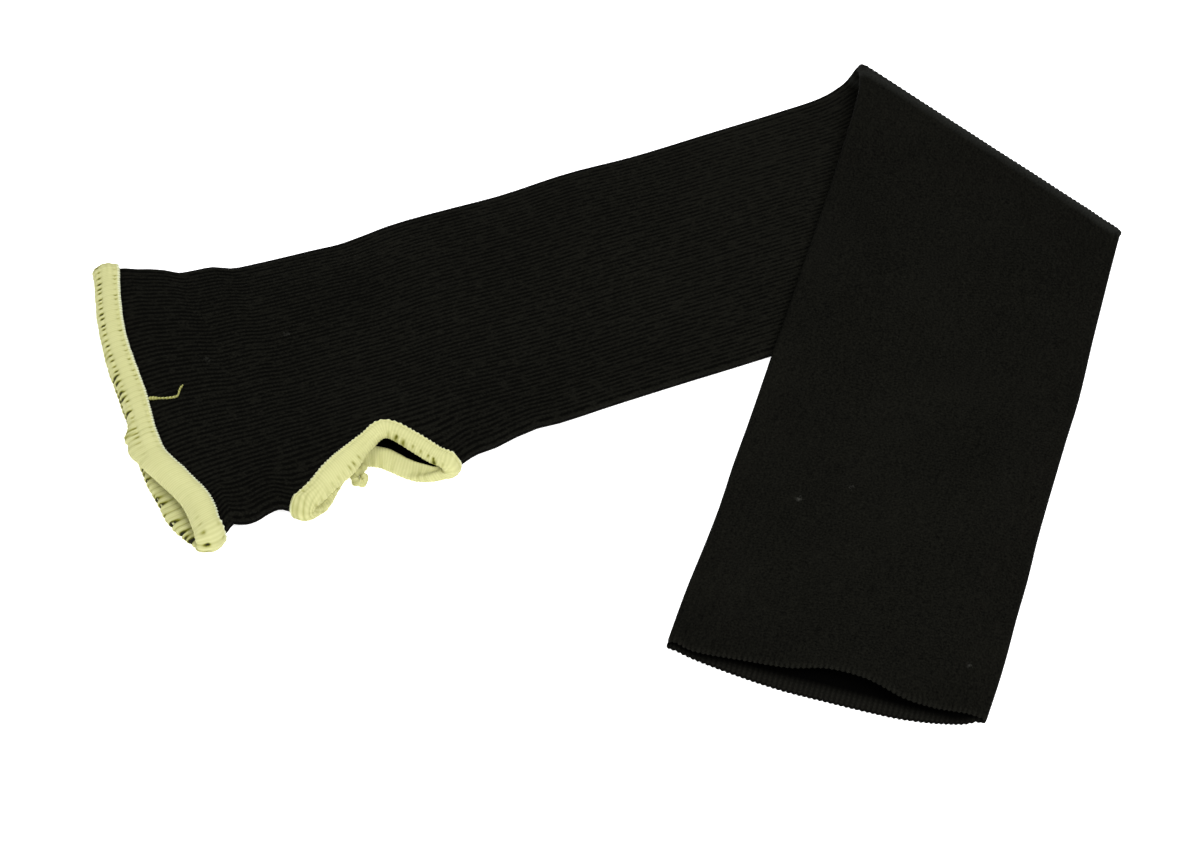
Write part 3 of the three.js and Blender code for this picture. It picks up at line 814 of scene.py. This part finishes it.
# Materials
class Wire:
    """A value that flows between a material's nodes. Arithmetic on it adds Math nodes."""

    def __init__(self, tree, socket):
        self.tree = tree
        self.socket = socket

    def math(self, operation, *values):
        node = self.tree.nodes.new("ShaderNodeMath")
        node.operation = operation
        for inlet, value in zip(node.inputs, values):
            feed(self.tree, inlet, value)
        return Wire(self.tree, node.outputs[0])

    def __add__(self, other):
        return self.math("ADD", self, other)

    __radd__ = __add__

    def __sub__(self, other):
        return self.math("SUBTRACT", self, other)

    def __rsub__(self, other):
        return self.math("SUBTRACT", other, self)

    def __mul__(self, other):
        return self.math("MULTIPLY", self, other)

    __rmul__ = __mul__

    def __gt__(self, other):
        return self.math("GREATER_THAN", self, other)

    def __abs__(self):
        return self.math("ABSOLUTE", self)

    def part(self):
        return self.math("FRACT", self)

    def clamped(self):
        return self.math("MINIMUM", self.math("MAXIMUM", self, 0.0), 1.0)

    def wave(self):
        """Cosine of a count of whole turns."""
        return self.math("COSINE", self * TAU)


def feed(tree, inlet, value):
    if isinstance(value, Wire):
        tree.links.new(value.socket, inlet)
    else:
        inlet.default_value = value


class Finish:
    """A material with one shader, and the nodes that vary it over a surface."""

    def __init__(self, name, **constants):
        self.material = bpy.data.materials.new(name)
        self.material.use_nodes = True
        self.tree = self.material.node_tree
        self.shader = self.tree.nodes["Principled BSDF"]
        for socket, value in constants.items():
            self.shader.inputs[socket.replace("_", " ")].default_value = value

    def node(self, kind, settings, sockets, output=0):
        made = self.tree.nodes.new(kind)
        for name, value in settings.items():
            setattr(made, name, value)
        for name, value in sockets.items():
            feed(self.tree, made.inputs[name], value)
        return Wire(self.tree, made.outputs[output])

    def mix(self, share, first, second):
        """A colour between two."""
        return self.node("ShaderNodeMix", {"data_type": "RGBA"}, {0: share, 6: first, 7: second}, 2)

    def noise(self, scale, detail=2.0, place=None):
        place = place or self.node("ShaderNodeTexCoord", {}, {}, "Object")
        return self.node("ShaderNodeTexNoise", {}, {"Vector": place, "Scale": scale, "Detail": detail})

    def vector(self, x, y):
        return self.node("ShaderNodeCombineXYZ", {}, {0: x, 1: y})

    def stitches(self):
        """Counts of ribs or stitches, and of courses, from the piece's own map."""
        place = self.node("ShaderNodeUVMap", {"uv_map": STITCH_MAP}, {}, "UV")
        split = self.node("ShaderNodeSeparateXYZ", {}, {"Vector": place}).socket.node
        return Wire(self.tree, split.outputs[0]), Wire(self.tree, split.outputs[1])

    def give(self, socket, value):
        feed(self.tree, self.shader.inputs[socket], value)

    def raise_by(self, height, distance):
        sockets = {"Strength": 1.0, "Distance": distance, "Height": height}
        self.give("Normal", self.node("ShaderNodeBump", {}, sockets, "Normal"))


def knit_pattern(finish):
    """The ribs, stitches and fibres that make up the look of the knit."""
    knit = SimpleNamespace()
    knit.ribs, knit.courses = finish.stitches()
    knit.crest = 0.5 - 0.5 * knit.ribs.wave()
    leg = abs(knit.ribs.part() * 2 - 1)
    knit.loops = 0.5 + 0.5 * (knit.courses + leg * 0.5).wave()
    knit.fibres = finish.noise(scale=1500.0)
    along_ribs = finish.vector(knit.ribs * 1.3, knit.courses * 0.11)
    knit.streaks = finish.noise(scale=1.0, detail=2.0, place=along_ribs)
    # the hand half, where shade is painted into the rib grooves and light onto the rib crests; the
    # stitches' bumps show only here
    knit.open_ribs = ((RIB_SHADE_TO - knit.courses) * 0.05).clamped()
    return knit


def outside_colour(finish, knit):
    """Mottled, with painted shade in the rib grooves and a painted highlight on the rib crests over the
    hand half, a painted highlight along the fold, and a painted highlight on the rib crests at the arm's
    rim.
    """
    clouds = finish.noise(scale=30.0, detail=3.0)
    between_ribs = finish.vector(knit.ribs * 0.9, knit.courses * 0.3)
    breaks = finish.noise(scale=1.0, detail=3.0, place=between_ribs)
    valley = (1 - knit.crest) * (1 - knit.crest)
    # painted shade in the grooves between the ribs, broken into dashes
    gaps = valley * (5 * breaks - 1.75).clamped() * knit.open_ribs
    mottle = 0.1 * knit.loops + 0.3 * knit.streaks + 1.7 * knit.fibres + 0.4 * clouds
    # painted highlight on the rib crests, and a tone that grows paler towards the fold
    crest_light_and_tone = (0.06 + 0.1 * knit.crest + 0.0009 * knit.courses) * knit.open_ribs
    painted_groove_shade = (1.05 - 0.0012 * knit.courses) * gaps
    shade = (mottle + crest_light_and_tone - painted_groove_shade - 0.86).clamped()
    cloth = finish.mix(shade, KNIT_DARK, KNIT_PALE)
    # painted highlight along the fold, speckled by the fibres
    from_fold = abs(knit.courses - HIGHLIGHT_LEANS * knit.ribs - FOLD_HIGHLIGHT_AT)
    fold_highlight = (1 - 0.45 * from_fold).clamped() * (0.15 + 0.7 * knit.fibres)
    cloth = finish.mix(fold_highlight, cloth, FOLD_HIGHLIGHT)
    # painted highlight on the rib crests of the arm's rim
    rim = ((knit.courses - RIM_STARTS) * 0.6).clamped() * knit.crest
    return finish.mix(0.3 * rim, cloth, RIM_HIGHLIGHT)


def inside_painted_light(finish, knit):
    """Painted shadow inside the tube, with painted light from the mouth on the last courses."""
    aside = abs((knit.ribs - INSIDE_RIBS) * (4 / RIBS) - 1)
    shadow_to = INSIDE_SHADOW_TO + SHADOW_ASIDE * (2 * aside * aside * aside).clamped()
    by_mouth = ((knit.courses - shadow_to) * 0.4).clamped()
    lit = by_mouth * (0.1 + 0.5 * knit.crest * (0.4 + knit.loops) + 0.8 * knit.fibres)
    return finish.mix(lit.clamped(), INSIDE_SHADOW, INSIDE_LIT)


def lint_specks(finish, knit):
    place = finish.node("ShaderNodeTexCoord", {}, {}, "Object")
    spots = finish.node("ShaderNodeTexVoronoi", {}, {"Vector": place, "Scale": 45.0}, "Distance")
    speck = (1 - spots * 8 - 1.1 * (1 - knit.fibres)).clamped()
    return (2 * speck * (finish.noise(scale=21.0) > 0.56)).clamped()


def black_knit():
    finish = Finish("black_knit", Roughness=0.95, Specular_IOR_Level=0.03)
    knit = knit_pattern(finish)
    inside = knit.ribs > 0.5 * INSIDE_RIBS
    cloth = finish.mix(inside, outside_colour(finish, knit), inside_painted_light(finish, knit))
    finish.give("Base Color", finish.mix(lint_specks(finish, knit), cloth, LINT))
    stitches = knit.crest * (1 + 0.4 * knit.loops) * knit.open_ribs
    finish.raise_by(stitches + 0.6 * knit.fibres + 2.2 * knit.streaks, 0.14 * MM)
    return finish.material


def overlock_yarn(name, deep, pale, border_shows):
    finish = Finish(name, Roughness=0.9, Specular_IOR_Level=0.15)
    stitches, across = finish.stitches()
    gap_and_shade = finish.node("ShaderNodeAttribute", {"attribute_name": "gap_and_shade"}, {}, "Fac")
    strands = 0.5 + 0.5 * (stitches * STRANDS + 0.04 * across).wave()
    fibres = finish.noise(scale=1800.0)
    clouds = finish.noise(scale=120.0, detail=3.0)
    yarn = finish.mix(0.4 * strands + 0.5 * clouds, deep, pale)
    scallops = 0.5 + 0.35 * (stitches * SCALLOPS).wave()
    border = (1.5 - abs(across - PALE_BORDER_AT)).clamped() * scallops
    yarn = finish.mix(border_shows * border, yarn, PALE_BORDER)
    # olive in the dark gaps between stitches, and painted olive shade in the grooves and the crevice
    shaded = finish.mix((gap_and_shade * 1.6).clamped(), yarn, OLIVE_SHADE)
    open_gap = ((gap_and_shade - 0.45) * 1.9).clamped()
    finish.give("Base Color", finish.mix(open_gap, shaded, KNIT_BEHIND))
    finish.raise_by(0.5 * strands + 0.6 * fibres, 0.1 * MM)
    return finish.material


def pale_floor():
    finish = Finish("pale_floor", Roughness=1.0, Specular_IOR_Level=0.0)
    finish.give("Base Color", FLOOR_WHITE)
    finish.give("Emission Color", WHITE)
    finish.give("Emission Strength", FLOOR_GLOW)
    return finish.material


# The scene
def floor():
    shape = bmesh.new()
    bmesh.ops.create_grid(shape, x_segments=1, y_segments=1, size=FLOOR_SIZE / 2)
    mesh = bpy.data.meshes.new("floor")
    shape.to_mesh(mesh)
    shape.free()
    mesh.materials.append(pale_floor())
    piece = bpy.data.objects.new("floor", mesh)
    bpy.context.scene.collection.objects.link(piece)
    return piece


def camera():
    lens = bpy.data.cameras.new("camera")
    lens.lens = CAMERA_LENS
    lens.sensor_width = SENSOR_WIDTH
    eye = bpy.data.objects.new("camera", lens)
    x, y, z = CAMERA_TARGET
    eye.location = (
        x,
        y - CAMERA_DISTANCE * math.cos(CAMERA_ELEVATION),
        z + CAMERA_DISTANCE * math.sin(CAMERA_ELEVATION),
    )
    eye.rotation_euler = (math.pi / 2 - CAMERA_ELEVATION, 0, 0)
    bpy.context.scene.collection.objects.link(eye)
    bpy.context.scene.camera = eye


def light(name, place, size, power):
    """A soft light that is turned to the sleeve's middle."""
    lamp = bpy.data.lights.new(name, "AREA")
    lamp.size = size
    lamp.energy = power
    holder = bpy.data.objects.new(name, lamp)
    holder.location = place
    holder.rotation_euler = Vector(place).to_track_quat("Z", "Y").to_euler()
    bpy.context.scene.collection.objects.link(holder)


def studio():
    world = bpy.data.worlds.new("studio")
    world.use_nodes = True
    sky = world.node_tree.nodes["Background"]
    sky.inputs["Color"].default_value = WHITE
    sky.inputs["Strength"].default_value = SKY_STRENGTH
    bpy.context.scene.world = world
    bpy.context.scene.view_settings.view_transform = "Standard"
    for name, settings in LIGHTS.items():
        light(name, **settings)


def put_on(piece, node, material):
    """Gives a piece its finish, and its place in the part."""
    piece.data.materials.clear()
    piece.data.materials.append(material)
    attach(piece, "root")
    if node:
        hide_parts(node)
    return piece


camera()
studio()
ground = floor()

knit = knit_tube()
cut_hole(knit, thumb_cutter())
put_on(knit, "knit_tube", black_knit())
hand_yarn = overlock_yarn("hand_yarn", **HAND_YARN)
thumb_yarn = overlock_yarn("thumb_yarn", **THUMB_YARN)
hand = put_on(hand_edging(), "hand_edging", hand_yarn)
thumb = put_on(thumb_edging(), "thumb_edging", thumb_yarn)
tail = put_on(thread_tail(), None, hand_yarn)
tuft = put_on(yarn_tuft(), None, thumb_yarn)
